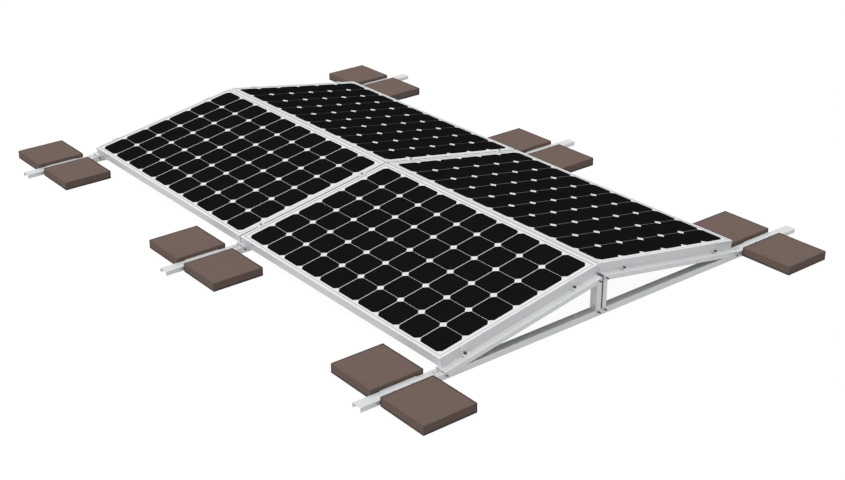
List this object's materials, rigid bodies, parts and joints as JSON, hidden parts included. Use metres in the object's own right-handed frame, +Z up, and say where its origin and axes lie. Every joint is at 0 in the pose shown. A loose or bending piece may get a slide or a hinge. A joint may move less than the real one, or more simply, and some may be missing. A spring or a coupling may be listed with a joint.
{
  "type": "solar ballast mount",
  "caption": "Ballasted flat-roof mount: framed solar modules back to back on low triangular steel frames, held down by loose concrete slabs.",
  "frame": {"origin": "on the roof plane under the middle of the ridge, at the middle frame", "axes": "+Z up, +Y along the ridge from the near frame to the far one, +X across the ridge to the right-hand modules"},
  "size_m": [2.91, 3.99, 0.2567],
  "materials": {
    "module_frame": "satin anodised",
    "clamp_aluminium": "mill, with dark bolts",
    "galvanised_steel": "smooth galvanised",
    "module_glass": "gloss over dark cells and a white back sheet",
    "concrete": "fine brown concrete"
  },
  "bodies": {
    "root": {"ballast_rail_far_left": "galvanised_steel", "ballast_rail_far_right": "galvanised_steel", "ballast_rail_middle_left": "galvanised_steel", "ballast_rail_middle_right": "galvanised_steel", "ballast_rail_near_left": "galvanised_steel", "ballast_rail_near_right": "galvanised_steel", "ballast_tray_far_left": "galvanised_steel", "ballast_tray_far_right": "galvanised_steel", "ballast_tray_middle_left": "galvanised_steel", "ballast_tray_middle_right": "galvanised_steel", "ballast_tray_near_left": "galvanised_steel", "ballast_tray_near_right": "galvanised_steel", "base_rail_far": "galvanised_steel", "base_rail_middle": "galvanised_steel", "base_rail_near": "galvanised_steel", "end_clamp_far_left_high": "clamp_aluminium", "end_clamp_far_left_low": "clamp_aluminium", "end_clamp_far_right_high": "clamp_aluminium", "end_clamp_far_right_low": "clamp_aluminium", "end_clamp_near_left_high": "clamp_aluminium", "end_clamp_near_left_low": "clamp_aluminium", "end_clamp_near_right_high": "clamp_aluminium", "end_clamp_near_right_low": "clamp_aluminium", "laminate_far_left": "module_glass", "laminate_far_right": "module_glass", "laminate_near_left": "module_glass", "laminate_near_right": "module_glass", "mid_clamp_left_high": "clamp_aluminium", "mid_clamp_left_low": "clamp_aluminium", "mid_clamp_right_high": "clamp_aluminium", "mid_clamp_right_low": "clamp_aluminium", "module_frame_far_left": "module_frame", "module_frame_far_right": "module_frame", "module_frame_near_left": "module_frame", "module_frame_near_right": "module_frame", "post_far_left": "galvanised_steel", "post_far_right": "galvanised_steel", "post_middle_left": "galvanised_steel", "post_middle_right": "galvanised_steel", "post_near_left": "galvanised_steel", "post_near_right": "galvanised_steel", "slab_far_left_back": "concrete", "slab_far_left_front": "concrete", "slab_far_right_back": "concrete", "slab_far_right_front": "concrete", "slab_middle_left_back": "concrete", "slab_middle_left_front": "concrete", "slab_middle_right_back": "concrete", "slab_middle_right_front": "concrete", "slab_near_left_back": "concrete", "slab_near_left_front": "concrete", "slab_near_right_back": "concrete", "slab_near_right_front": "concrete", "slope_rail_far_left": "galvanised_steel", "slope_rail_far_right": "galvanised_steel", "slope_rail_middle_left": "galvanised_steel", "slope_rail_middle_right": "galvanised_steel", "slope_rail_near_left": "galvanised_steel", "slope_rail_near_right": "galvanised_steel"}
  },
  "joints": []
}
